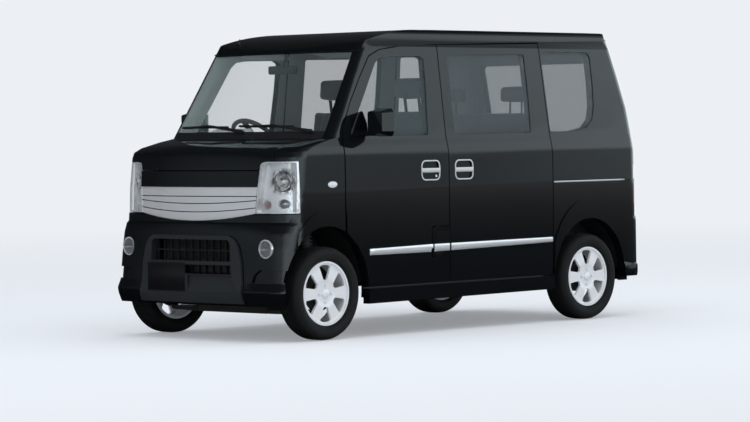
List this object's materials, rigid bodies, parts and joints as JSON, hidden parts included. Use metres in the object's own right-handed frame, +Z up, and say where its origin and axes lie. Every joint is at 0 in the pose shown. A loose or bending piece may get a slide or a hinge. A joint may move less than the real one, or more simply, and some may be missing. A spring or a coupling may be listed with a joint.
{
  "type": "kei van",
  "caption": "Black one-box kei van on alloy wheels, with opening front doors, bonnet, tailgate and fuel lid, steered front wheels and a furnished cabin.",
  "frame": {"origin": "on the ground under the middle of the body, at the centre of the tyres' plane", "axes": "+Y from nose to tail, +Z up, +X towards the van's left side"},
  "size_m": [1.8, 3.395, 1.87],
  "materials": {
    "body_paint": "gloss black paint",
    "window_glass": "lightly tinted",
    "lamp_clear": "clear lens",
    "lamp_red": "red lens",
    "chrome": "bright",
    "black_trim": "grained",
    "underbody": "satin black underseal",
    "aluminium": "silver lacquer",
    "cast_iron": "as cast",
    "steel": "dull",
    "cabin_plastic": "grained",
    "seat_fabric": "woven",
    "tyre": "black rubber"
  },
  "bodies": {
    "body": {"side_body_left": "body_paint", "side_body_right": "body_paint", "fuel_filler": "body_paint", "sliding_door_left": "body_paint", "sliding_door_right": "body_paint", "front_fender_left": "body_paint", "front_fender_right": "body_paint", "roof_panel": "body_paint", "nose_panel": "body_paint", "front_bumper": "body_paint", "rear_bumper": "body_paint", "side_skirts": "body_paint", "side_glass": "window_glass", "windscreen": "window_glass", "headlamp_lenses": "lamp_clear", "fog_lamps": "lamp_clear", "tail_lamps": "lamp_red", "front_grille": "chrome", "headlamps": "chrome", "cowl_panel": "black_trim", "lower_grille": "black_trim", "front_housings": "black_trim", "rear_housings": "black_trim", "plate_bracket": "black_trim", "floor_pan": "underbody", "front_frame": "underbody", "fuel_tank": "underbody", "radiator": "aluminium", "front_suspension": "cast_iron", "rear_suspension": "cast_iron", "engine_block": "cast_iron", "propshaft": "steel", "exhaust": "steel", "dashboard": "cabin_plastic", "steering_column": "cabin_plastic", "front_seats": "seat_fabric", "rear_bench": "seat_fabric"},
    "front_door_left": {"front_door_left": "body_paint", "door_glass_left": "window_glass", "door_mirror_left": "body_paint"},
    "front_door_right": {"front_door_right": "body_paint", "door_glass_right": "window_glass", "door_mirror_right": "body_paint"},
    "tailgate": {"tailgate": "body_paint", "tailgate_glass": "window_glass"},
    "bonnet": {"bonnet": "body_paint"},
    "fuel_lid": {"fuel_lid": "body_paint"},
    "knuckle_left": {"knuckle_left": "cast_iron"},
    "knuckle_right": {"knuckle_right": "cast_iron"},
    "wheel_front_left": {"rim_front_left": "aluminium", "tyre_front_left": "tyre"},
    "wheel_front_right": {"rim_front_right": "aluminium", "tyre_front_right": "tyre"},
    "wheel_rear_left": {"rim_rear_left": "aluminium", "tyre_rear_left": "tyre"},
    "wheel_rear_right": {"rim_rear_right": "aluminium", "tyre_rear_right": "tyre"},
    "steering_wheel": {"steering_wheel": "cabin_plastic"}
  },
  "joints": [
    {"name": "front_door_left_hinge", "type": "hinge", "parent": "body", "child": "front_door_left", "pos_m": [0.7225, -1.108, 0.9], "axis": [0, 0, -1], "range_deg": [0, 65]},
    {"name": "front_door_right_hinge", "type": "hinge", "parent": "body", "child": "front_door_right", "pos_m": [-0.7225, -1.108, 0.9], "axis": [0, 0, 1], "range_deg": [0, 65]},
    {"name": "tailgate_hinge", "type": "hinge", "parent": "body", "child": "tailgate", "pos_m": [0, 1.477, 1.786], "axis": [1, 0, 0], "range_deg": [0, 85]},
    {"name": "bonnet_hinge", "type": "hinge", "parent": "body", "child": "bonnet", "pos_m": [0, -1.235, 1.1885], "axis": [-1, 0, 0], "range_deg": [0, 50]},
    {"name": "fuel_lid_hinge", "type": "hinge", "parent": "body", "child": "fuel_lid", "pos_m": [0.726, -0.334, 0.535], "axis": [0, 0, -1], "range_deg": [0, 75]},
    {"name": "steer_left", "type": "hinge", "parent": "body", "child": "knuckle_left", "pos_m": [0.6, -1.2575, 0.195], "axis": [-0.2106, 0.058, 0.9758], "range_deg": [-33, 33]},
    {"name": "steer_right", "type": "hinge", "parent": "body", "child": "knuckle_right", "pos_m": [-0.6, -1.2575, 0.195], "axis": [0.2106, 0.058, 0.9758], "range_deg": [-33, 33]},
    {"name": "steering_wheel_turn", "type": "hinge", "parent": "body", "child": "steering_wheel", "pos_m": [-0.33, -0.8, 1.175], "axis": [0, 0.7431, 0.6691], "range_deg": [-500, 500]},
    {"name": "spin_front_left", "type": "hinge", "parent": "knuckle_left", "child": "wheel_front_left", "pos_m": [0.655, -1.2575, 0.277], "axis": [1, 0, 0], "continuous": true},
    {"name": "spin_front_right", "type": "hinge", "parent": "knuckle_right", "child": "wheel_front_right", "pos_m": [-0.655, -1.2575, 0.277], "axis": [1, 0, 0], "continuous": true},
    {"name": "spin_rear_left", "type": "hinge", "parent": "body", "child": "wheel_rear_left", "pos_m": [0.645, 1.1425, 0.277], "axis": [1, 0, 0], "continuous": true},
    {"name": "spin_rear_right", "type": "hinge", "parent": "body", "child": "wheel_rear_right", "pos_m": [-0.645, 1.1425, 0.277], "axis": [1, 0, 0], "continuous": true}
  ],
  "couplings": [
    {"joint": "steer_right", "follows": "steer_left", "ratio": 1},
    {"joint": "steering_wheel_turn", "follows": "steer_left", "ratio": 15}
  ]
}
